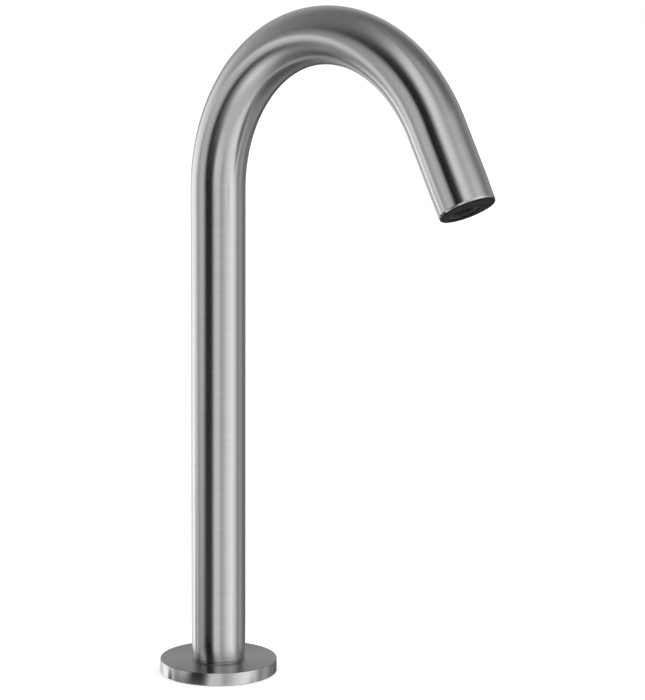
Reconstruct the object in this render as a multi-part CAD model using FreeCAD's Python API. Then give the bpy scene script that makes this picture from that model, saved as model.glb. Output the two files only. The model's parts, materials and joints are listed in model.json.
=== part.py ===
import FreeCAD, Part
import math
import os

# A tall sensor tap for a basin deck: one bent tube on a round base flange, with the water
# hose and the sensor lead inside it, the outlet insert in its mouth and the clamp under the
# deck. Millimetres. The origin is on the column's axis at the deck's surface, +Z is up, and
# the spout reaches towards +X.

# ---- Spout tube ----
tube_diameter = 25.0
tube_wall = 1.2
column_height = 218.0  # from the flange's top face to the start of the bend
bend_radius = 71.0  # of the tube's centre line
bend_angle = 151.0
outlet_leg = 37.0  # straight end after the bend, to the outlet's face
mouth_bevel_width = 0.4
mouth_bevel_length = 1.0
foot_bevel = 0.5

# ---- Base flange ----
flange_diameter = 54.0
flange_thickness = 6.0
flange_edge_bevel = 0.35
shoulder_height = 0.8  # raised ring that the tube stands on
shoulder_step = 0.3  # how far the ring lies inside the tube's outside
flange_web = 1.3  # metal left above the hollow for the base body

# ---- Base body ----
boss_diameter = 30.0  # centres the tap in the deck hole
boss_depth = 8.0  # below the deck's surface
boss_clearance = 0.2
spigot_length = 24.5  # inside the tube, above the flange's web
spigot_clearance = 0.1
spigot_end_bevel = 0.6
core_bore_diameter = 18.0  # way through for the hose and the lead
thread_web = 1.5  # metal between the shank's end and the spigot

# ---- Clamp under the deck ----
shank_diameter = 24.0
shank_length_below_deck = 62.0
shank_end_bevel = 0.8
thread_clearance = 0.05
deck_thickness = 20.0  # of the deck that the clamp is set for
clamp_diameter = 44.0
clamp_hole_clearance = 0.3
gasket_thickness = 3.0
washer_thickness = 2.0
nut_across_flats = 32.0
nut_height = 8.0
nut_bevel = 0.8
nut_gap = 0.1

# ---- Seals ----
flange_seal_diameter = 45.0  # middle of the ring under the flange
flange_seal_width = 3.0
flange_seal_height = 1.5
seal_clearance = 0.05
ring_section = 1.5  # across an O-ring's section
ring_section_sides = 8  # its round section is drawn with this many flats
ring_groove_width = 2.0
foot_ring_height = 14.0  # above the deck
outlet_ring_depth = 15.0  # behind the mouth

# ---- Grub screws ----
foot_screw_diameter = 4.0
foot_screw_length = 4.0
foot_screw_height = 22.0
outlet_screw_diameter = 3.0
outlet_screw_length = 3.0
outlet_screw_depth = 19.5
screw_sink = 0.2  # head below the tube's outside
screw_socket_share = 0.5  # width across the hexagon over the screw's diameter
screw_socket_depth_share = 0.45
screw_point_bevel = 0.4
screw_clearance = 0.05
screw_hole_clearance = 0.15

# ---- Hose and lead ----
hose_diameter = 8.0
hose_bore = 5.2
hose_offset = 2.6  # towards the inside of the bend
hose_end_gap = 0.5
lead_diameter = 2.8
lead_offset = -6.2  # towards the outside of the bend
lead_clearance = 0.05
barb_length = 10.0
barb_tooth = 2.5
barb_tooth_depth = 0.35
barb_bore = 3.6
barb_clearance = 0.05
ferrule_length = 8.0
ferrule_wall = 0.7
ferrule_start = 1.2  # from the hose's end
ferrule_groove = 0.3
clip_count = 3
clip_first_height = 62.0
clip_spacing = 58.0
clip_height = 5.0
clip_wall = 1.2

# ---- Inlet at the foot of the shank ----
inlet_plug_length = 12.0
inlet_plug_clearance = 0.05
inlet_rim_diameter = 23.0
inlet_rim_thickness = 3.0
inlet_rim_flats = 21.0
inlet_washer_thickness = 1.0
water_thread_diameter = 10.0
water_thread_depth = 11.0
gland_diameter = 4.4
gland_lip_diameter = 6.0
gland_lip_thickness = 1.2

# ---- Outlet insert ----
insert_clearance = 0.15
insert_lip_thickness = 0.6  # rim of the insert that covers the tube's end
insert_length = 24.0
insert_edge_bevel = 0.3
aerator_bore_depth = 10.2
sensor_pocket_flat = 4.9  # from the outlet's axis to the pocket's straight side
sensor_pocket_wall = 0.95
window_recess = 0.1  # behind the outlet's face
window_thickness = 1.5
window_clearance = 0.1
led_diameter = 3.0
led_collar_diameter = 3.5
led_collar_height = 0.6
led_length = 4.7
led_gap = 0.2
led_spacing = 6.8
board_thickness = 1.0
grommet_diameter = 5.2
grommet_depth = 3.0
grommet_head = 2.5

# ---- Aerator ----
aerator_diameter = 13.6
aerator_clearance = 0.05
aerator_recess = 0.5  # behind the outlet's face
aerator_length = 8.0
aerator_wall = 1.0
aerator_lip = 1.6
aerator_lip_thickness = 1.0
key_slot_count = 4
key_slot_width = 1.6
key_slot_depth = 0.6
screen_thickness = 1.0
screen_clearance = 0.1
screen_ring_count = 3  # rings of cells round the middle one
screen_cell_flats = 1.2
screen_cell_web = 0.28
regulator_thickness = 2.0
regulator_gap = 2.0  # behind the screen
regulator_hole_count = 8
regulator_hole_diameter = 1.0
regulator_hole_circle = 7.4
regulator_hub_diameter = 4.0
regulator_hub_height = 1.2
aerator_washer_width = 3.2
aerator_washer_thickness = 1.4
aerator_washer_gap = 0.1
aerator_washer_clearance = 0.4

# ---- Worked out from these ----
tube_radius = tube_diameter / 2
tube_inner_radius = tube_radius - tube_wall
foot_height = flange_thickness + shoulder_height
bend_height = flange_thickness + column_height
boss_top = flange_thickness - flange_web
boss_radius = boss_diameter / 2
spigot_radius = tube_inner_radius - spigot_clearance
spigot_top = flange_thickness + spigot_length
core_radius = core_bore_diameter / 2
shank_radius = shank_diameter / 2
shank_top = boss_top - thread_web - thread_clearance
shank_foot = -shank_length_below_deck
ring_radius = ring_section / 2
hose_radius = hose_diameter / 2
lead_radius = lead_diameter / 2
barb_radius = hose_bore / 2 - barb_clearance
inlet_plug_top = shank_foot + inlet_plug_length
inlet_rim_top = shank_foot - inlet_washer_thickness
inlet_foot = inlet_rim_top - inlet_rim_thickness
gland_foot = inlet_foot - gland_lip_thickness
insert_radius = tube_inner_radius - insert_clearance
pocket_radius = insert_radius - sensor_pocket_wall
lip_radius = tube_radius - mouth_bevel_width
window_back = window_recess + window_thickness
led_front = window_back + led_gap
board_front = led_front + led_length
board_back = board_front + board_thickness
led_circle = (sensor_pocket_flat + pocket_radius) / 2
aerator_radius = aerator_diameter / 2
aerator_back = aerator_recess + aerator_length
screen_front = aerator_recess + aerator_lip_thickness
screen_radius = aerator_radius - aerator_wall - screen_clearance
regulator_front = screen_front + screen_thickness + regulator_gap

UP = FreeCAD.Vector(0, 0, 1)
SIDEWAYS = FreeCAD.Vector(0, 1, 0)  # square to the plane of the bend
BACKWARDS = FreeCAD.Vector(-1, 0, 0)
PAST = 1.0  # how far a cutting solid runs past what it cuts

bend_centre = FreeCAD.Vector(bend_radius, 0, bend_height)
bend_turn = math.radians(bend_angle)
spout_direction = FreeCAD.Vector(math.sin(bend_turn), 0, math.cos(bend_turn))
bend_end = bend_centre + FreeCAD.Vector(-math.cos(bend_turn), 0, math.sin(bend_turn)) * bend_radius
mouth = bend_end + spout_direction * outlet_leg

# The outlet's own frame has its origin in the middle of its face, +Z into the tube and +X to
# the front, away from the column. What is fixed in the outlet is made in it, then placed.
outlet_frame = FreeCAD.Placement(mouth, FreeCAD.Rotation(SIDEWAYS, bend_angle - 180))
outlet_water_x = -hose_offset
outlet_lead_x = -lead_offset


def in_outlet(shape):
    """The shape, moved from the outlet's own frame to the tap's."""
    return shape.transformed(outlet_frame.toMatrix())


def cylinder(radius, low, high, x=0.0, y=0.0):
    return Part.makeCylinder(radius, high - low, FreeCAD.Vector(x, y, low))


def ring(outer_radius, inner_radius, low, high, x=0.0, y=0.0):
    hole = cylinder(inner_radius, low - PAST, high + PAST, x, y)
    return cylinder(outer_radius, low, high, x, y).cut(hole)


def turned(profile, x=0.0, y=0.0):
    """A body turned about an upright axis, from its half section of (radius, height) points."""
    points = [FreeCAD.Vector(x + radius, y, height) for radius, height in profile]
    face = Part.Face(Part.makePolygon(points + points[:1]))
    return face.revolve(FreeCAD.Vector(x, y, 0), UP, 360)


def hexagon(across_flats, low, high):
    corner = across_flats / 2 / math.cos(math.radians(30))
    angles = [math.radians(60 * side) for side in range(7)]
    points = [FreeCAD.Vector(corner * math.cos(a), corner * math.sin(a), low) for a in angles]
    return Part.Face(Part.makePolygon(points)).extrude(UP * (high - low))


def sealing_ring(height):
    """An O-ring between a groove's floor and the tube's bore, with flats on both."""
    half_flats = ring_radius - seal_clearance
    corner = half_flats / math.cos(math.pi / ring_section_sides)
    middle = tube_inner_radius - ring_radius
    angles = [2 * math.pi * (side + 0.5) / ring_section_sides for side in range(ring_section_sides)]
    return turned([(middle + corner * math.cos(a), height + corner * math.sin(a)) for a in angles])


def beyond_flat(shape, flat_x, reach):
    """The part of a shape that lies further forward than flat_x."""
    box = Part.makeBox(reach, 2 * reach, 4 * reach, FreeCAD.Vector(flat_x, -reach, -2 * reach))
    return shape.common(box)


def spout_rod(radius, offset, low, mouth_gap):
    """A round rod that follows the spout from a height to mouth_gap short of the mouth.
    The offset moves it towards the inside of the bend."""
    start = FreeCAD.Vector(offset, 0, bend_height)
    column = cylinder(radius, low, bend_height, offset)
    section = Part.Face(Part.Wire(Part.makeCircle(radius, start, UP)))
    bend = section.revolve(bend_centre, SIDEWAYS, bend_angle)
    leg = in_outlet(cylinder(radius, mouth_gap, outlet_leg, -offset))
    return column.fuse([bend, leg])


def crosswise_hole(radius, height, from_x, to_x):
    """A round hole through the back wall, between two distances behind the axis."""
    return Part.makeCylinder(radius, from_x - to_x, FreeCAD.Vector(-to_x, 0, height), BACKWARDS)


def grub_screw(diameter, length):
    """Its socket end is at the origin and it points down."""
    radius = diameter / 2
    tip = radius - screw_point_bevel
    body = turned([(0, 0), (radius, 0), (radius, screw_point_bevel - length), (tip, -length),
                   (0, -length)])
    return body.cut(hexagon(diameter * screw_socket_share, -length * screw_socket_depth_share, PAST))


def in_back_wall(screw, height):
    """A grub screw, placed in the tube's back wall at a height."""
    turn = FreeCAD.Rotation(UP, BACKWARDS)
    place = FreeCAD.Placement(FreeCAD.Vector(screw_sink - tube_radius, 0, height), turn)
    return screw.transformed(place.toMatrix())


def barb(x, low):
    """A hose barb with its teeth pointing down to its root at low."""
    teeth = int(barb_length // barb_tooth)
    profile = [(barb_bore / 2, low)]
    for tooth in range(teeth):
        root = low + tooth * barb_tooth
        profile += [(barb_radius, root), (barb_radius - barb_tooth_depth, root + barb_tooth)]
    return turned(profile + [(barb_bore / 2, low + teeth * barb_tooth)], x)


def ferrule(x, low):
    """A crimped sleeve round a hose, with two pressed grooves."""
    inner = hose_radius + barb_clearance
    outer = inner + ferrule_wall
    step = ferrule_length / 5
    waist = outer - ferrule_groove
    profile = [(inner, low), (outer, low)]
    for groove in (1, 3):
        profile += [(outer, low + groove * step), (waist, low + groove * step)]
        profile += [(waist, low + (groove + 1) * step), (outer, low + (groove + 1) * step)]
    return turned(profile + [(outer, low + ferrule_length), (inner, low + ferrule_length)], x)


# ---- Spout and base ----

def spout_tube():
    outside = spout_rod(tube_radius, 0, foot_height, insert_lip_thickness)
    tube = outside.cut(spout_rod(tube_inner_radius, 0, foot_height - PAST, -PAST))
    foot_bevel_cut = turned([(tube_radius - foot_bevel, foot_height - PAST),
                             (tube_radius - foot_bevel, foot_height),
                             (tube_radius, foot_height + foot_bevel),
                             (tube_radius + PAST, foot_height + foot_bevel),
                             (tube_radius + PAST, foot_height - PAST)])
    bevel_top = insert_lip_thickness + mouth_bevel_length
    mouth_bevel_cut = turned([(lip_radius, -PAST), (lip_radius, insert_lip_thickness),
                              (tube_radius, bevel_top), (tube_radius + PAST, bevel_top),
                              (tube_radius + PAST, -PAST)])
    foot_hole = crosswise_hole(foot_screw_diameter / 2 + screw_hole_clearance, foot_screw_height,
                               tube_radius + PAST, core_radius)
    outlet_hole = crosswise_hole(outlet_screw_diameter / 2 + screw_hole_clearance,
                                 outlet_screw_depth, tube_radius + PAST, core_radius)
    return tube.cut([foot_bevel_cut, in_outlet(mouth_bevel_cut), foot_hole, in_outlet(outlet_hole)])


def base_flange():
    radius = flange_diameter / 2
    bore = spigot_radius + spigot_clearance
    shoulder = tube_radius - shoulder_step
    hollow = boss_radius + boss_clearance
    seal_inner = (flange_seal_diameter - flange_seal_width) / 2 - seal_clearance
    seal_outer = (flange_seal_diameter + flange_seal_width) / 2 + seal_clearance
    return turned([(bore, foot_height), (shoulder, foot_height), (shoulder, flange_thickness),
                   (radius - flange_edge_bevel, flange_thickness),
                   (radius, flange_thickness - flange_edge_bevel), (radius, flange_edge_bevel),
                   (radius - flange_edge_bevel, 0), (seal_outer, 0),
                   (seal_outer, flange_seal_height), (seal_inner, flange_seal_height),
                   (seal_inner, 0), (hollow, 0), (hollow, boss_top), (bore, boss_top)])


def flange_seal():
    return ring((flange_seal_diameter + flange_seal_width) / 2,
                (flange_seal_diameter - flange_seal_width) / 2, 0, flange_seal_height)


def base_body():
    groove_low = foot_ring_height - ring_groove_width / 2
    groove_high = foot_ring_height + ring_groove_width / 2
    groove_floor = tube_inner_radius - ring_section
    thread = shank_radius + thread_clearance
    body = turned([(thread, -boss_depth), (boss_radius, -boss_depth), (boss_radius, boss_top),
                   (spigot_radius, boss_top), (spigot_radius, groove_low),
                   (groove_floor, groove_low), (groove_floor, groove_high),
                   (spigot_radius, groove_high), (spigot_radius, spigot_top - spigot_end_bevel),
                   (spigot_radius - spigot_end_bevel, spigot_top), (core_radius, spigot_top),
                   (core_radius, boss_top - thread_web), (thread, boss_top - thread_web)])
    return body.cut(crosswise_hole(foot_screw_diameter / 2 + screw_clearance, foot_screw_height,
                                   tube_radius, core_radius - PAST))


def foot_oring():
    return sealing_ring(foot_ring_height)


def foot_grub_screw():
    return in_back_wall(grub_screw(foot_screw_diameter, foot_screw_length), foot_screw_height)


def threaded_shank():
    return turned([(core_radius, shank_foot), (shank_radius - shank_end_bevel, shank_foot),
                   (shank_radius, shank_foot + shank_end_bevel), (shank_radius, shank_top),
                   (core_radius, shank_top)])


# ---- Clamp under the deck ----

def clamp_ring(high, thickness):
    hole = shank_radius + clamp_hole_clearance
    return ring(clamp_diameter / 2, hole, high - thickness, high)


def deck_gasket():
    return clamp_ring(-deck_thickness, gasket_thickness)


def clamp_washer():
    return clamp_ring(-deck_thickness - gasket_thickness, washer_thickness)


def mounting_nut():
    high = -deck_thickness - gasket_thickness - washer_thickness - nut_gap
    low = high - nut_height
    corner = nut_across_flats / 2 / math.cos(math.radians(30))
    bevelled = turned([(0, low), (corner - nut_bevel, low), (corner, low + nut_bevel),
                       (corner, high - nut_bevel), (corner - nut_bevel, high), (0, high)])
    nut = hexagon(nut_across_flats, low, high).common(bevelled)
    return nut.cut(cylinder(shank_radius + thread_clearance, low - PAST, high + PAST))


# ---- Water and lead ----

def inlet_body():
    plug = core_radius - inlet_plug_clearance
    rim = cylinder(inlet_rim_diameter / 2, inlet_foot, inlet_rim_top)
    flats = Part.makeBox(inlet_rim_diameter, inlet_rim_flats, inlet_rim_thickness,
                         FreeCAD.Vector(-inlet_rim_diameter / 2, -inlet_rim_flats / 2, inlet_foot))
    body = rim.common(flats).fuse(cylinder(plug, inlet_rim_top, inlet_plug_top))
    socket = cylinder(water_thread_diameter / 2, inlet_foot - PAST,
                      inlet_foot + water_thread_depth, hose_offset)
    waterway = cylinder(barb_bore / 2, inlet_foot, inlet_plug_top + PAST, hose_offset)
    gland_hole = cylinder(gland_diameter / 2 + seal_clearance, inlet_foot - PAST,
                          inlet_plug_top + PAST, lead_offset)
    return body.cut([socket, waterway, gland_hole]).fuse(barb(hose_offset, inlet_plug_top))


def inlet_washer():
    return ring(inlet_rim_diameter / 2, core_radius + inlet_plug_clearance, inlet_rim_top,
                shank_foot)


def lead_gland():
    hole = lead_radius + lead_clearance
    sleeve = ring(gland_diameter / 2, hole, inlet_foot, inlet_plug_top, lead_offset)
    return sleeve.fuse(ring(gland_lip_diameter / 2, hole, gland_foot, inlet_foot, lead_offset))


def water_hose():
    low = inlet_plug_top + hose_end_gap
    mouth_gap = insert_length + hose_end_gap
    outside = spout_rod(hose_radius, hose_offset, low, mouth_gap)
    return outside.cut(spout_rod(hose_bore / 2, hose_offset, low - PAST, mouth_gap - PAST))


def lower_ferrule():
    return ferrule(hose_offset, inlet_plug_top + hose_end_gap + ferrule_start)


def upper_ferrule():
    return in_outlet(ferrule(outlet_water_x, insert_length + hose_end_gap + ferrule_start))


def sensor_lead():
    return spout_rod(lead_radius, lead_offset, gland_foot, board_back)


def lead_clips():
    """Clips in the column that hold the lead beside the hose."""
    clips = []
    for number in range(clip_count):
        low = clip_first_height + number * clip_spacing
        high = low + clip_height
        hose_grip = hose_radius + lead_clearance
        lead_grip = lead_radius + lead_clearance
        web = Part.makeBox(hose_offset - lead_offset, 2 * lead_grip, clip_height,
                           FreeCAD.Vector(lead_offset, -lead_grip, low))
        clip = cylinder(hose_grip + clip_wall, low, high, hose_offset)
        clip = clip.fuse([cylinder(lead_grip + clip_wall, low, high, lead_offset), web])
        hose_way = cylinder(hose_grip, low - PAST, high + PAST, hose_offset)
        lead_way = cylinder(lead_grip, low - PAST, high + PAST, lead_offset)
        clips.append(clip.cut([hose_way, lead_way]))
    return Part.makeCompound(clips)


# ---- Outlet insert, in the outlet's own frame ----

def outlet_housing():
    groove_low = outlet_ring_depth - ring_groove_width / 2
    groove_high = outlet_ring_depth + ring_groove_width / 2
    groove_floor = tube_inner_radius - ring_section
    body = turned([(0, 0), (lip_radius - insert_edge_bevel, 0), (lip_radius, insert_edge_bevel),
                   (lip_radius, insert_lip_thickness), (insert_radius, insert_lip_thickness),
                   (insert_radius, groove_low),
                   (groove_floor, groove_low), (groove_floor, groove_high),
                   (insert_radius, groove_high), (insert_radius, insert_length),
                   (0, insert_length)])
    aerator_bore = cylinder(aerator_radius + aerator_clearance, -PAST, aerator_bore_depth,
                            outlet_water_x)
    waterway = cylinder(barb_bore / 2, aerator_bore_depth - PAST, insert_length + PAST,
                        outlet_water_x)
    pocket = beyond_flat(cylinder(pocket_radius, -PAST, board_back), sensor_pocket_flat,
                         tube_diameter)
    lead_way = cylinder(lead_radius + lead_clearance, board_back - board_thickness,
                        insert_length + PAST, outlet_lead_x)
    grommet_seat = cylinder(grommet_diameter / 2 + seal_clearance, insert_length - grommet_depth,
                            insert_length + PAST, outlet_lead_x)
    screw_hole = crosswise_hole(outlet_screw_diameter / 2 + screw_clearance, outlet_screw_depth,
                                tube_radius, tube_radius - screw_sink - outlet_screw_length)
    body = body.cut([aerator_bore, waterway, pocket, lead_way, grommet_seat, screw_hole])
    return in_outlet(body.fuse(barb(outlet_water_x, insert_length)))


def housing_oring():
    return in_outlet(sealing_ring(outlet_ring_depth))


def outlet_grub_screw():
    screw = grub_screw(outlet_screw_diameter, outlet_screw_length)
    return in_outlet(in_back_wall(screw, outlet_screw_depth))


def pocket_plate(low, high):
    """A plate with the sensor pocket's outline, a clearance smaller all round."""
    disc = cylinder(pocket_radius - window_clearance, low, high)
    return beyond_flat(disc, sensor_pocket_flat + window_clearance, tube_diameter)


def sensor_window():
    return in_outlet(pocket_plate(window_recess, window_back))


def sensor_board():
    return in_outlet(pocket_plate(board_front, board_back - window_clearance))


def led(y):
    """A domed lamp or detector that looks out through the window."""
    radius = led_diameter / 2
    dome = Part.makeSphere(radius, FreeCAD.Vector(led_circle, y, led_front + radius))
    stem = cylinder(radius, led_front + radius, board_front, led_circle, y)
    collar = cylinder(led_collar_diameter / 2, board_front - led_collar_height, board_front,
                      led_circle, y)
    return in_outlet(stem.fuse([dome, collar]))


def ir_emitter():
    return led(led_spacing / 2)


def ir_receiver():
    return led(-led_spacing / 2)


def lead_grommet():
    hole = lead_radius + lead_clearance
    low = insert_length - grommet_depth
    return in_outlet(ring(grommet_diameter / 2, hole, low, insert_length + grommet_head,
                          outlet_lead_x))


# ---- Aerator, in the outlet's own frame ----

def aerator_housing():
    bore = aerator_radius - aerator_wall
    lip = aerator_radius - aerator_lip
    sleeve = turned([(lip, aerator_recess), (aerator_radius, aerator_recess),
                     (aerator_radius, aerator_back), (bore, aerator_back),
                     (bore, screen_front), (lip, screen_front)], outlet_water_x)
    slots = []
    for number in range(key_slot_count):
        slot = Part.makeBox(aerator_diameter, key_slot_width, key_slot_depth + PAST,
                            FreeCAD.Vector(outlet_water_x, -key_slot_width / 2,
                                           aerator_recess - PAST))
        slot.rotate(FreeCAD.Vector(outlet_water_x, 0, 0), UP, (number + 0.5) * 360 / key_slot_count)
        slots.append(slot)
    outer_skin = ring(aerator_diameter, aerator_radius - aerator_wall / 2, aerator_recess - PAST,
                      aerator_back, outlet_water_x)
    return in_outlet(sleeve.cut([slot.cut(outer_skin) for slot in slots]))


def aerator_screen():
    """A disc with a honeycomb of six-sided cells, in rings round the middle one."""
    back = screen_front + screen_thickness
    disc = cylinder(screen_radius, screen_front, back, outlet_water_x)
    pitch = screen_cell_flats + screen_cell_web
    cells = []
    for column in range(-screen_ring_count, screen_ring_count + 1):
        first = max(-screen_ring_count, -screen_ring_count - column)
        last = min(screen_ring_count, screen_ring_count - column)
        for row in range(first, last + 1):
            cell = hexagon(screen_cell_flats, screen_front - PAST, back + PAST)
            x = outlet_water_x + pitch * column * math.cos(math.radians(30))
            cell.translate(FreeCAD.Vector(x, pitch * (row + column / 2), 0))
            cells.append(cell)
    return in_outlet(disc.cut(cells))


def flow_regulator():
    back = regulator_front + regulator_thickness
    disc = cylinder(screen_radius, regulator_front, back, outlet_water_x)
    hub = cylinder(regulator_hub_diameter / 2, back, back + regulator_hub_height, outlet_water_x)
    holes = []
    for number in range(regulator_hole_count):
        angle = math.radians(360 * number / regulator_hole_count)
        reach = regulator_hole_circle / 2
        holes.append(cylinder(regulator_hole_diameter / 2, regulator_front - PAST, back + PAST,
                              outlet_water_x + reach * math.cos(angle), reach * math.sin(angle)))
    return in_outlet(disc.cut(holes).fuse(hub))


def aerator_washer():
    outer = aerator_radius - aerator_washer_clearance
    low = aerator_back + aerator_washer_gap
    return in_outlet(ring(outer, outer - aerator_washer_width, low,
                          low + aerator_washer_thickness, outlet_water_x))


pieces = [
    spout_tube, base_flange, flange_seal, base_body, foot_oring, foot_grub_screw,
    threaded_shank, deck_gasket, clamp_washer, mounting_nut, inlet_body, inlet_washer,
    lead_gland, water_hose, lower_ferrule, upper_ferrule, sensor_lead, lead_clips,
    outlet_housing, housing_oring, outlet_grub_screw, sensor_window, sensor_board,
    ir_emitter, ir_receiver, lead_grommet, aerator_housing, aerator_screen, flow_regulator,
    aerator_washer,
]

os.makedirs("parts", exist_ok=True)
for piece in pieces:
    shape = piece()
    shape.exportStep(os.path.join("parts", piece.__name__ + ".step"))
    print(piece.__name__, len(shape.Solids), shape.isValid(), round(shape.Volume, 2))
print("bend radius of the hose", bend_radius - hose_offset)
print("bend radius of the lead", bend_radius - lead_offset)
print("outlet's face at", mouth)
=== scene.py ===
import json
import math

import bpy
from mathutils import Matrix, Vector


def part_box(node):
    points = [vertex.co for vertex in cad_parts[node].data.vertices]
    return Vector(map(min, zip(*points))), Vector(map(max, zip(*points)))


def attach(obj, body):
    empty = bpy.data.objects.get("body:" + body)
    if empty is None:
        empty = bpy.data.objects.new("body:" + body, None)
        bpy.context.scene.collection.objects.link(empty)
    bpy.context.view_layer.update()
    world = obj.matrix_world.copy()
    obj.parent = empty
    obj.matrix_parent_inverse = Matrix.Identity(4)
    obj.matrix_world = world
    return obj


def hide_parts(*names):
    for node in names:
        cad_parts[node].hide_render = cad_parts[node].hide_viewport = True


# The looks of a tall sensor tap, in metres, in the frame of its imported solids: +Z is up, the
# deck's surface is at zero height and the spout reaches towards +X.

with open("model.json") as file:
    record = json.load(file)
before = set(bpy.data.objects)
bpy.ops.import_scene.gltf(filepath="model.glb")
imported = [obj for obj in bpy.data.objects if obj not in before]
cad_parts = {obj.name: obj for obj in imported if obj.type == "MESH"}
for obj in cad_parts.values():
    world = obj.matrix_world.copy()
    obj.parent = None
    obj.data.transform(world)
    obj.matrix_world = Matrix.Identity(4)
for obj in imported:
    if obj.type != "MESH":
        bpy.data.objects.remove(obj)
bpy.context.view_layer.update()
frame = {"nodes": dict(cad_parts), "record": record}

# ---- Sizes, worked out from the frame where it shows them ----
spout_low, spout_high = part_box("spout_tube")
flange_low, flange_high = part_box("base_flange")
shank_low, shank_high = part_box("threaded_shank")
TUBE_RADIUS = (spout_high.y - spout_low.y) / 2
TUBE_WALL = 0.0012
TUBE_SEGMENTS = 144
FOOT_BEVEL = 0.00045
MOUTH_BEVEL_WIDTH = 0.0004
MOUTH_BEVEL_HEIGHT = 0.0010
FINE_EDGE = 0.0001
FOOT_EDGE = 0.00015
MOUTH_EDGE = 0.0003
MOUTH_RIM_EDGE = 0.00012
COLUMN_STEPS, BEND_STEPS, LEG_STEPS = 12, 120, 4
BEND_RADIUS = 0.071
BEND_ANGLE = math.radians(151)
OUTLET_LEG = 0.0370
INSERT_LIP = 0.0006
FOOT = spout_low.z
BEND_HEIGHT = spout_high.z - TUBE_RADIUS - BEND_RADIUS
COLUMN = BEND_HEIGHT - FOOT
ARC = BEND_RADIUS * BEND_ANGLE
SPOUT_LENGTH = COLUMN + ARC + OUTLET_LEG - INSERT_LIP
BEND_CENTRE = Vector((BEND_RADIUS, 0, BEND_HEIGHT))

FLANGE_RADIUS = (flange_high.x - flange_low.x) / 2
FLANGE_TOP = 0.0060
FLANGE_EDGE = 0.0003
SHOULDER_SETBACK = 0.0003
SHOULDER_RADIUS = TUBE_RADIUS - SHOULDER_SETBACK
SHOULDER_EDGE = 0.0002
FLANGE_BORE = TUBE_RADIUS - TUBE_WALL
BOSS_HOLLOW = 0.0152
BOSS_TOP = 0.0047
SEAL_GROOVE = (0.02095, 0.02405, 0.0015)  # inner and outer radius, height
FLANGE_SEGMENTS = 160

SHANK_RADIUS = (shank_high.x - shank_low.x) / 2
SHANK_BORE = 0.009
SHANK_SEGMENTS = 64
THREAD_PITCH = 0.0015
THREAD_DEPTH = 0.00092
THREAD_STEPS = 6  # rows per turn
THREAD_FLAT = 1.2  # how soon the thread's root is reached, which leaves it a flat

# ---- The photograph's view ----
IMAGE_WIDTH = 645
IMAGE_HEIGHT = 700
CAMERA_DISTANCE = 1.1297
CAMERA_HEIGHT = 0.3353
CAMERA_AZIMUTH = math.radians(47.555)
CAMERA_YAW = math.radians(-2.407)
CAMERA_PITCH = math.radians(9.287)
CAMERA_ROLL = math.radians(0.334)
CAMERA_FOCUS_PIXELS = 2512.8
SENSOR_WIDTH = 36.0
CLIP_END = 20

# ---- Surfaces ----
TONE_RANGE = (0.3, 0.7)  # the part of a noise that its colours are spread over
FINE_DETAIL, BROAD_DETAIL = 4.0, 2.0
BUMP_DEPTH = 0.0001
GRAIN = 900.0  # per metre
GRAIN_BUMP = 0.08
GLOSS_SPREAD = 0.06
BRUSH_LINES = 3200.0  # per metre, before the noise makes them uneven
BRUSH_BUMP = 0.05
BRUSH_CLOUDS = 35.0  # per metre
LINE_SHARE, CLOUD_SHARE = 0.7, 0.3
STEEL_LOW, STEEL_HIGH = (0.64, 0.64, 0.645), (0.72, 0.72, 0.72)
STEEL_ROUGHNESS = (0.17, 0.20)
FLANGE_TOP_PAINTED_SHADE = 0.60  # painted shade: the flange's top is coloured darker than its rim, for its darker reflections
FLANGE_TOP_MARGIN = 0.0001
FLOOR_HALF = 4.0
FLOOR_GREY = 0.85
FLOOR_SEEN = 1.35  # for the camera, so that the floor comes out white


# ---- Mesh helpers ----

def new_piece(name, vertices, faces, uvs, smooth_angle=40):
    """A mesh object with one UV per face corner, smooth except over sharp edges."""
    mesh = bpy.data.meshes.new(name)
    mesh.from_pydata(vertices, [], faces)
    layer = mesh.uv_layers.new(name="grain")
    for loop, uv in zip(layer.data, uvs):
        loop.uv = uv
    mesh.shade_smooth()
    mesh.set_sharp_from_angle(angle=math.radians(smooth_angle))
    mesh.validate()
    mesh.update()
    piece = bpy.data.objects.new(name, mesh)
    bpy.context.scene.collection.objects.link(piece)
    return piece


def swept_ring(name, stations, place, segments):
    """A closed skin: stations of (radius, distance) are turned about a line and joined in a
    loop. place(radius, angle, distance) gives each point."""
    vertices = []
    for radius, distance in stations:
        for step in range(segments):
            vertices.append(place(radius, 2 * math.pi * step / segments, distance))
    count = len(stations)
    lengths = [0.0]
    for (radius, distance), (last_radius, last_distance) in zip(stations[1:], stations):
        lengths.append(lengths[-1] + math.hypot(radius - last_radius, distance - last_distance))
    lengths.append(lengths[-1])
    faces = []
    uvs = []
    for row in range(count):
        below = row * segments
        above = (row + 1) % count * segments
        for step in range(segments):
            after = (step + 1) % segments
            faces.append((below + step, above + step, above + after, below + after))
            low, high = lengths[row], lengths[row + 1]
            left, right = step / segments, (step + 1) / segments
            uvs += [(low, left), (high, left), (high, right), (low, right)]
    return new_piece(name, vertices, faces, uvs)


def rounded(corners, steps=4):
    """The stations of a half section whose corners (radius, height, rounding) are arcs."""
    stations = []
    count = len(corners)
    for index, (radius, height, rounding) in enumerate(corners):
        corner = Vector((radius, height))
        before = Vector(corners[index - 1][:2]) - corner
        after = Vector(corners[(index + 1) % count][:2]) - corner
        if not rounding:
            stations.append((radius, height))
            continue
        start = corner + before.normalized() * rounding
        end = corner + after.normalized() * rounding
        for step in range(steps + 1):
            share = step / steps
            point = (start.lerp(corner, share)).lerp(corner.lerp(end, share), share)
            stations.append((point.x, point.y))
    return stations


def divided(start, end, steps):
    """Even steps from a start, which is left out, to an end."""
    return [start + (end - start) * step / steps for step in range(1, steps + 1)]


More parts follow.
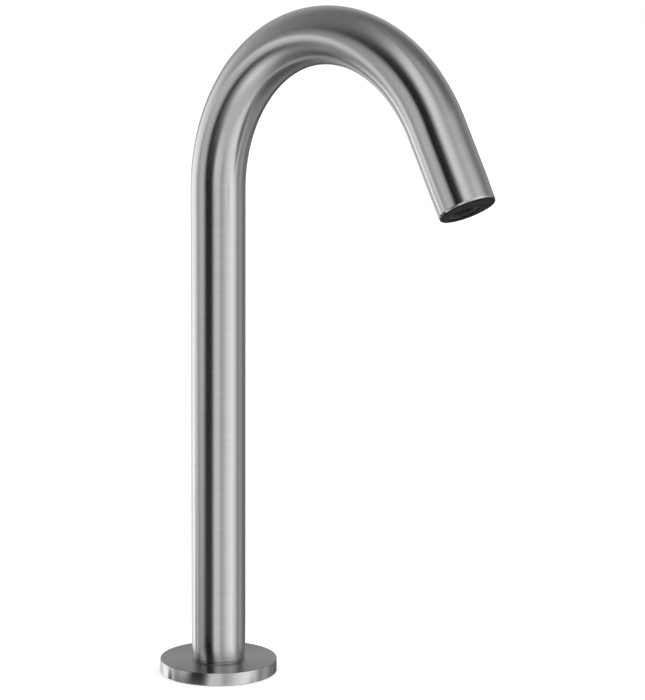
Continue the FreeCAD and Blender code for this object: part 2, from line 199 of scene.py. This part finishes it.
def upright(radius, angle, height):
    return (radius * math.cos(angle), radius * math.sin(angle), height)


def along_spout(radius, angle, distance):
    """A point at a distance from the spout's foot and a radius from its centre line."""
    turn = min(max((distance - COLUMN) / BEND_RADIUS, 0), BEND_ANGLE)
    outward = Vector((-math.cos(turn), 0, math.sin(turn)))
    along = Vector((math.sin(turn), 0, math.cos(turn)))
    straight = min(distance - COLUMN, 0) + max(distance - COLUMN - ARC, 0)
    centre = BEND_CENTRE + outward * BEND_RADIUS + along * straight
    return centre + outward * (radius * math.cos(angle)) + Vector((0, radius * math.sin(angle), 0))


# ---- Pieces ----

def spout_skin():
    """The bent tube, with its rounded foot and the bevelled rim of its mouth."""
    outer = TUBE_RADIUS
    inner = TUBE_RADIUS - TUBE_WALL
    foot = rounded([(inner, 0, FINE_EDGE), (outer - FOOT_BEVEL, 0, FOOT_EDGE),
                    (outer, FOOT_BEVEL, FOOT_EDGE)])
    mouth = rounded([(outer, SPOUT_LENGTH - MOUTH_BEVEL_HEIGHT, MOUTH_EDGE),
                     (outer - MOUTH_BEVEL_WIDTH, SPOUT_LENGTH, MOUTH_RIM_EDGE),
                     (inner, SPOUT_LENGTH, FINE_EDGE)])
    bend_end = COLUMN + ARC
    breaks = divided(foot[-1][1], COLUMN, COLUMN_STEPS) + divided(COLUMN, bend_end, BEND_STEPS)
    breaks += divided(bend_end, mouth[0][1], LEG_STEPS)[:-1]
    outside = [(outer, distance) for distance in breaks]
    inside = [(inner, distance) for distance in reversed(breaks)]
    piece = swept_ring("spout_skin", foot + outside + mouth + inside, along_spout, TUBE_SEGMENTS)
    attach(piece, "tap_body")
    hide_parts("spout_tube")
    piece.data.materials.append(brushed_steel("spout_steel", "UV"))
    return piece


def flange_skin():
    """The base flange, turned, with fine rounded edges."""
    groove_inner, groove_outer, groove_height = SEAL_GROOVE
    corners = [
        (FLANGE_BORE, FOOT, 0), (SHOULDER_RADIUS, FOOT, FINE_EDGE),
        (SHOULDER_RADIUS, FLANGE_TOP, SHOULDER_EDGE), (FLANGE_RADIUS, FLANGE_TOP, FLANGE_EDGE),
        (FLANGE_RADIUS, 0, FLANGE_EDGE), (groove_outer, 0, 0), (groove_outer, groove_height, 0),
        (groove_inner, groove_height, 0), (groove_inner, 0, 0), (BOSS_HOLLOW, 0, 0),
        (BOSS_HOLLOW, BOSS_TOP, 0), (FLANGE_BORE, BOSS_TOP, 0),
    ]
    piece = swept_ring("flange_skin", rounded(corners), upright, FLANGE_SEGMENTS)
    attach(piece, "tap_body")
    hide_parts("base_flange")
    piece.data.materials.append(brushed_steel("flange_steel", "RADIAL"))
    return piece


def shank_thread():
    """The hollow shank with its outside thread, cut as a helix."""
    low, high = shank_low.z, shank_high.z
    rows = int((high - low) / THREAD_PITCH * THREAD_STEPS)
    stations = [(SHANK_BORE, high)]
    stations += [(SHANK_RADIUS, high - (high - low) * row / rows) for row in range(rows + 1)]
    stations.append((SHANK_BORE, low))

    def threaded(radius, angle, height):
        if radius > SHANK_BORE:
            phase = (height / THREAD_PITCH - angle / (2 * math.pi)) % 1
            depth = 1 - abs(2 * phase - 1)
            radius -= THREAD_DEPTH * min(1, THREAD_FLAT * depth)
        return upright(radius, angle, height)

    piece = swept_ring("shank_thread", stations, threaded, SHANK_SEGMENTS)
    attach(piece, "tap_body")
    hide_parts("threaded_shank")
    piece.data.materials.append(materials["brass"])
    return piece


# ---- Materials ----

def shader(name):
    """A new node material: its nodes, its links and its Principled shader."""
    material = bpy.data.materials.new(name)
    material.use_nodes = True
    nodes = material.node_tree.nodes
    return material, nodes, material.node_tree.links, nodes["Principled BSDF"]


def ramp(nodes, links, source, stops):
    """A colour ramp of (position, colour) stops, fed by a socket."""
    stops = list(stops)
    node = nodes.new("ShaderNodeValToRGB")
    elements = node.color_ramp.elements
    elements[0].position, elements[0].color = stops[0][0], (*stops[0][1], 1)
    elements[1].position, elements[1].color = stops[-1][0], (*stops[-1][1], 1)
    for position, colour in stops[1:-1]:
        elements.new(position).color = (*colour, 1)
    links.new(source, node.inputs["Fac"])
    return node.outputs["Color"]


def math_node(nodes, links, operation, *values):
    """A math node fed by numbers and sockets."""
    node = nodes.new("ShaderNodeMath")
    node.operation = operation
    for socket, value in zip(node.inputs, values):
        if isinstance(value, (int, float)):
            socket.default_value = value
        else:
            links.new(value, socket)
    return node.outputs[0]


def noise(nodes, links, vector, scale, detail):
    """A noise from 0 to 1, at a scale per unit of its vector."""
    node = nodes.new("ShaderNodeTexNoise")
    node.inputs["Scale"].default_value = scale
    node.inputs["Detail"].default_value = detail
    links.new(vector, node.inputs["Vector"])
    return node.outputs["Fac"]


def spread(nodes, links, source, low, high):
    """A socket from 0 to 1, mapped to a range of values."""
    node = nodes.new("ShaderNodeMapRange")
    node.inputs["To Min"].default_value = low
    node.inputs["To Max"].default_value = high
    links.new(source, node.inputs["Value"])
    return node.outputs["Result"]


def bump(nodes, links, height, strength, target):
    """Fine relief, led to a shader's normal."""
    node = nodes.new("ShaderNodeBump")
    node.inputs["Strength"].default_value = strength
    node.inputs["Distance"].default_value = BUMP_DEPTH
    links.new(height, node.inputs["Height"])
    links.new(node.outputs["Normal"], target)


def brushed_steel(name, grain):
    """Stainless steel with fine brush lines round the tube, or round the flange's axis."""
    material, nodes, links, principled = shader(name)
    coordinates = nodes.new("ShaderNodeTexCoord")
    tangent = nodes.new("ShaderNodeTangent")
    combine = nodes.new("ShaderNodeCombineXYZ")
    separate = nodes.new("ShaderNodeSeparateXYZ")
    tangent.direction_type = "UV_MAP"
    tangent.uv_map = "grain"
    if grain == "UV":
        links.new(coordinates.outputs["UV"], separate.inputs["Vector"])
        turn = math_node(nodes, links, "MULTIPLY", separate.outputs["Y"], 2 * math.pi)
        along = math_node(nodes, links, "MULTIPLY", separate.outputs["X"], BRUSH_LINES)
        links.new(along, combine.inputs["X"])
        for operation, socket in (("COSINE", "Y"), ("SINE", "Z")):
            links.new(math_node(nodes, links, operation, turn), combine.inputs[socket])
    else:
        links.new(coordinates.outputs["Object"], separate.inputs["Vector"])
        square_x = math_node(nodes, links, "MULTIPLY", separate.outputs["X"], separate.outputs["X"])
        square_y = math_node(nodes, links, "MULTIPLY", separate.outputs["Y"], separate.outputs["Y"])
        reach = math_node(nodes, links, "SQRT", math_node(nodes, links, "ADD", square_x, square_y))
        links.new(math_node(nodes, links, "MULTIPLY", reach, BRUSH_LINES), combine.inputs["X"])
        links.new(math_node(nodes, links, "MULTIPLY", separate.outputs["Z"], BRUSH_LINES),
                  combine.inputs["Y"])
        angle = math_node(nodes, links, "ARCTAN2", separate.outputs["Y"], separate.outputs["X"])
        links.new(math_node(nodes, links, "SINE", angle), combine.inputs["Z"])
    lines = noise(nodes, links, combine.outputs["Vector"], 1.0, FINE_DETAIL)
    clouds = noise(nodes, links, coordinates.outputs["Object"], BRUSH_CLOUDS, BROAD_DETAIL)
    tone = math_node(nodes, links, "ADD", math_node(nodes, links, "MULTIPLY", lines, LINE_SHARE),
                     math_node(nodes, links, "MULTIPLY", clouds, CLOUD_SHARE))
    colour = ramp(nodes, links, tone, zip(TONE_RANGE, (STEEL_LOW, STEEL_HIGH)))
    # Painted shade: the flange's top gets a darker steel colour than its rim, for the darker
    # reflections there.
    if grain == "RADIAL":
        painted_shade_on_top = math_node(nodes, links, "GREATER_THAN", separate.outputs["Z"],
                           FLANGE_TOP - FLANGE_TOP_MARGIN)
        scale = nodes.new("ShaderNodeVectorMath")
        scale.operation = "SCALE"
        links.new(colour, scale.inputs[0])
        links.new(spread(nodes, links, painted_shade_on_top, 1.0, FLANGE_TOP_PAINTED_SHADE), scale.inputs["Scale"])
        colour = scale.outputs["Vector"]
    links.new(colour, principled.inputs["Base Color"])
    links.new(spread(nodes, links, tone, *STEEL_ROUGHNESS), principled.inputs["Roughness"])
    links.new(tangent.outputs["Tangent"], principled.inputs["Tangent"])
    bump(nodes, links, lines, BRUSH_BUMP, principled.inputs["Normal"])
    principled.inputs["Metallic"].default_value = 1.0
    principled.inputs["Anisotropic"].default_value = 1.0
    return material


def machined(name, low_colour, high_colour, roughness, metallic, mirror=0.5):
    """Metal or plastic with fine grain in its colour, gloss and surface."""
    material, nodes, links, principled = shader(name)
    coordinates = nodes.new("ShaderNodeTexCoord").outputs["Object"]
    fine = noise(nodes, links, coordinates, GRAIN, FINE_DETAIL)
    broad = noise(nodes, links, coordinates, GRAIN / 12, BROAD_DETAIL)
    tone = math_node(nodes, links, "MULTIPLY", math_node(nodes, links, "ADD", fine, broad), 0.5)
    links.new(ramp(nodes, links, tone, zip(TONE_RANGE, (low_colour, high_colour))),
              principled.inputs["Base Color"])
    links.new(spread(nodes, links, tone, roughness - GLOSS_SPREAD, roughness + GLOSS_SPREAD),
              principled.inputs["Roughness"])
    bump(nodes, links, fine, GRAIN_BUMP, principled.inputs["Normal"])
    principled.inputs["Metallic"].default_value = metallic
    principled.inputs["Specular IOR Level"].default_value = mirror
    return material


# Each slot's darker and lighter colour, its roughness, whether it is a metal and, where the slot
# mirrors less than usual, how strongly.
LOOKS = {
    "brass": ((0.60, 0.42, 0.18), (0.74, 0.56, 0.28), 0.30, 1.0),
    "zinc_steel": ((0.55, 0.56, 0.58), (0.66, 0.67, 0.70), 0.34, 1.0),
    "black_rubber": ((0.016, 0.016, 0.016), (0.030, 0.030, 0.030), 0.70, 0.0),
    "hose_plastic": ((0.66, 0.66, 0.64), (0.74, 0.74, 0.72), 0.42, 0.0),
    "lead_jacket": ((0.020, 0.020, 0.020), (0.040, 0.040, 0.040), 0.50, 0.0),
    "black_insert": ((0.003, 0.005, 0.004), (0.007, 0.009, 0.008), 0.20, 0.0, 0.25),
    "red_window": ((0.022, 0.002, 0.004), (0.034, 0.004, 0.007), 0.14, 0.0, 0.25),
    "board_green": ((0.010, 0.08, 0.030), (0.020, 0.12, 0.050), 0.40, 0.0),
    "led_resin": ((0.030, 0.020, 0.060), (0.045, 0.030, 0.080), 0.12, 0.0),
    "aerator_rim": ((0.060, 0.055, 0.050), (0.090, 0.082, 0.076), 0.25, 0.0),
    "aerator_plastic": ((0.020, 0.019, 0.018), (0.035, 0.033, 0.031), 0.45, 0.0),
}
materials = {slot: machined(slot, *look) for slot, look in LOOKS.items()}


def dress_nodes():
    """Gives each carried-over node the material of its slot in the record."""
    for row in frame["record"]["subparts"]:
        material = materials.get(row["material_slot"])
        if material is None:
            continue
        mesh = frame["nodes"][row["node"]].data
        mesh.materials.clear()
        mesh.materials.append(material)


# ---- Studio ----

def floor():
    """A pale floor, white to the camera, that the metal doesn't mirror."""
    half = FLOOR_HALF
    mesh = bpy.data.meshes.new("floor")
    corners = [(-half, -half, 0), (half, -half, 0), (half, half, 0), (-half, half, 0)]
    mesh.from_pydata(corners, [], [(0, 1, 2, 3)])
    plane = bpy.data.objects.new("floor", mesh)
    bpy.context.scene.collection.objects.link(plane)
    material, nodes, links, principled = shader("pale_floor")
    nodes.remove(principled)
    rays = nodes.new("ShaderNodeLightPath")
    mix = nodes.new("ShaderNodeMix")
    mix.data_type = "RGBA"
    mix.inputs["A"].default_value = (FLOOR_GREY, FLOOR_GREY, FLOOR_GREY, 1)
    mix.inputs["B"].default_value = (FLOOR_SEEN, FLOOR_SEEN, FLOOR_SEEN, 1)
    links.new(rays.outputs["Is Camera Ray"], mix.inputs["Factor"])
    diffuse = nodes.new("ShaderNodeBsdfDiffuse")
    links.new(mix.outputs["Result"], diffuse.inputs["Color"])
    links.new(diffuse.outputs["BSDF"], nodes["Material Output"].inputs["Surface"])
    mesh.materials.append(material)
    plane.visible_glossy = False


# The room that the steel mirrors. Azimuths are in degrees counter-clockwise from the camera's
# side, seen from above, and elevations in degrees above the horizon. The numbers of these lists
# were set by hand first, then fitted to the photograph's shading by a least-squares program and
# rounded. HORIZON's azimuths, VAULT's elevations and the last row are as they were first given.
VAULT = [  # elevation, light
    (-90, 0.55), (-60, 0.65), (-30, 0.55), (0, 0.40), (30, 0.20), (60, 0.15), (90, 0.30),
]
HORIZON_HEIGHT = (-15, 14, 4)  # its middle, half its height, half the width of its soft edges
HORIZON = [  # azimuth, light
    (-180, 0.85), (-150, 0.80), (-125, 1.60), (-110, 1.60), (-95, 1.45), (-80, 0.60), (-66, 1.35),
    (-54, 0.00), (-36, 0.00), (-27, 0.50), (-18, 1.05), (-8, 0.80), (2, 0.75), (12, 0.40),
    (22, 0.55), (34, 0.80), (46, 1.00), (60, 1.15), (70, 1.10), (80, 0.55), (90, 0.25),
    (105, 0.45), (125, 0.20), (150, 0.20), (168, 0.50), (180, 0.85),
]
# Soft boxes and dark flags: azimuth, elevation, half width, half height, softness, light, tilt.
BEHIND_HORIZON = [
    (-10, 51, 36, 44, 0.9, 0.90, 25),  # large box above the camera
    (55, -14, 26, 72, 0.9, 1.00, -10),  # upright strip on the right
    (-75, -36, 20, 24, 0.9, 1.60, -15),  # low box on the left
    (143, -41, 58, 56, 0.3, 0.30, 5),  # dark table end behind, to the right
    (-171, -71, 84, 30, 0.5, 0.10, 10),  # dark ground behind
]
BEFORE_HORIZON = [
    (-56, 7, 41, 48, 0.3, 0.00, -30),  # black flag on the left
    (-71, 3, 15, 22, 0.4, 0.70, -40),  # the gap in that flag
    (-120, -10, 35, 11, 0.8, 1.20, -50),  # window behind, to the left
    (-124, -34, 8, 28, 0.3, 0.00, -40),  # slim flags under that window
    (-100, -44, 11, 28, 0.5, 0.00, -10),
    (71, -64, 11, 43, 0.3, 0.05, 0),  # dark edge of the table on the right
    (95, 44, 57, 4, 0.9, 0.10, -5),  # dark beam overhead
    (-91, -8, 6, 9, 0.4, 0.55, -5),  # grey edge of the window that both flanks of the bend mirror
    (170, -23, 24, 11, 0.6, 0.05, 0),  # dark patch behind, under the outlet
    (-178, 22, 40, 16, 0.6, 0.46, 0),  # wall behind, which the flange's top mirrors
]


def studio():
    """A white studio for the camera and the diffuse light, and for the metal the same studio
    with its soft boxes and dark flags."""
    world = bpy.data.worlds.new("studio")
    world.use_nodes = True
    bpy.context.scene.world = world
    nodes = world.node_tree.nodes
    links = world.node_tree.links
    direction = nodes.new("ShaderNodeTexCoord").outputs["Generated"]
    rotate = nodes.new("ShaderNodeVectorRotate")
    rotate.rotation_type = "Z_AXIS"
    rotate.inputs["Angle"].default_value = math.pi / 2 - CAMERA_AZIMUTH
    links.new(direction, rotate.inputs["Vector"])
    separate = nodes.new("ShaderNodeSeparateXYZ")
    links.new(rotate.outputs["Vector"], separate.inputs["Vector"])

    def calculate(operation, *values):
        return math_node(nodes, links, operation, *values)

    angle = calculate("ARCTAN2", separate.outputs["Y"], separate.outputs["X"])
    azimuth = calculate("DEGREES", angle)
    elevation = calculate("DEGREES", calculate("ARCSINE", separate.outputs["Z"]))

    def painted(light, mask, level):
        mix = nodes.new("ShaderNodeMix")
        for socket, value in (("Factor", mask), ("A", light), ("B", level)):
            if isinstance(value, (int, float)):
                mix.inputs[socket].default_value = value
            else:
                links.new(value, mix.inputs[socket])
        return mix.outputs["Result"]

    def soft_edge(distance, low, high):
        edge = nodes.new("ShaderNodeMapRange")
        edge.interpolation_type = "SMOOTHSTEP"
        for socket, value in (("From Min", low), ("From Max", high), ("To Min", 1), ("To Max", 0)):
            edge.inputs[socket].default_value = value
        links.new(distance, edge.inputs["Value"])
        return edge.outputs["Result"]

    def panel(middle_azimuth, middle_elevation, width, height, softness, tilt):
        combine = nodes.new("ShaderNodeCombineXYZ")
        turn = calculate("SUBTRACT", azimuth, middle_azimuth)
        links.new(calculate("WRAP", turn, 180, -180), combine.inputs["X"])
        links.new(elevation, combine.inputs["Y"])
        place = nodes.new("ShaderNodeMapping")
        place.vector_type = "TEXTURE"
        place.inputs["Location"].default_value = (0, middle_elevation, 0)
        place.inputs["Rotation"].default_value = (0, 0, math.radians(tilt))
        place.inputs["Scale"].default_value = (width, height, 1)
        links.new(combine.outputs["Vector"], place.inputs["Vector"])
        length = nodes.new("ShaderNodeVectorMath")
        length.operation = "LENGTH"
        links.new(place.outputs["Vector"], length.inputs[0])
        return soft_edge(length.outputs["Value"], 1 - softness, 1 + softness)

    up = calculate("ADD", calculate("DIVIDE", elevation, 180), 0.5)
    round_about = calculate("ADD", calculate("DIVIDE", azimuth, 360), 0.5)
    light = ramp(nodes, links, up, [(0.5 + e / 180, (v, v, v)) for e, v in VAULT])
    for middle, high, width, height, softness, level, tilt in BEHIND_HORIZON:
        light = painted(light, panel(middle, high, width, height, softness, tilt), level)
    middle, half, edge = HORIZON_HEIGHT
    away = calculate("ABSOLUTE", calculate("SUBTRACT", elevation, middle))
    band = ramp(nodes, links, round_about, [(0.5 + a / 360, (v, v, v)) for a, v in HORIZON])
    light = painted(light, soft_edge(away, half - edge, half + edge), band)
    for middle, high, width, height, softness, level, tilt in BEFORE_HORIZON:
        light = painted(light, panel(middle, high, width, height, softness, tilt), level)

    rays = nodes.new("ShaderNodeLightPath")
    seen = painted(1.0, rays.outputs["Is Glossy Ray"], light)
    links.new(seen, nodes["Background"].inputs["Color"])


def camera():
    """The photograph's camera, worked out from the outline of the tap in it."""
    data = bpy.data.cameras.new("camera")
    data.sensor_width = SENSOR_WIDTH
    longer_side = max(IMAGE_WIDTH, IMAGE_HEIGHT)
    data.lens = CAMERA_FOCUS_PIXELS / longer_side * SENSOR_WIDTH
    data.clip_end = CLIP_END
    view = bpy.data.objects.new("camera", data)
    bpy.context.scene.collection.objects.link(view)
    heading = CAMERA_AZIMUTH + CAMERA_YAW
    forward = Vector((-math.sin(heading) * math.cos(CAMERA_PITCH),
                      math.cos(heading) * math.cos(CAMERA_PITCH), -math.sin(CAMERA_PITCH)))
    right = Vector((math.cos(heading), math.sin(heading), 0))
    turned = Matrix((right, right.cross(forward), -forward)).transposed()
    place = Vector((CAMERA_DISTANCE * math.sin(CAMERA_AZIMUTH),
                    -CAMERA_DISTANCE * math.cos(CAMERA_AZIMUTH), CAMERA_HEIGHT))
    roll = Matrix.Rotation(CAMERA_ROLL, 4, "Z")
    view.matrix_world = Matrix.Translation(place) @ turned.to_4x4() @ roll
    bpy.context.scene.camera = view


dress_nodes()
spout_skin()
flange_skin()
shank_thread()
floor()
studio()
camera()
bpy.context.scene.view_settings.view_transform = "Standard"
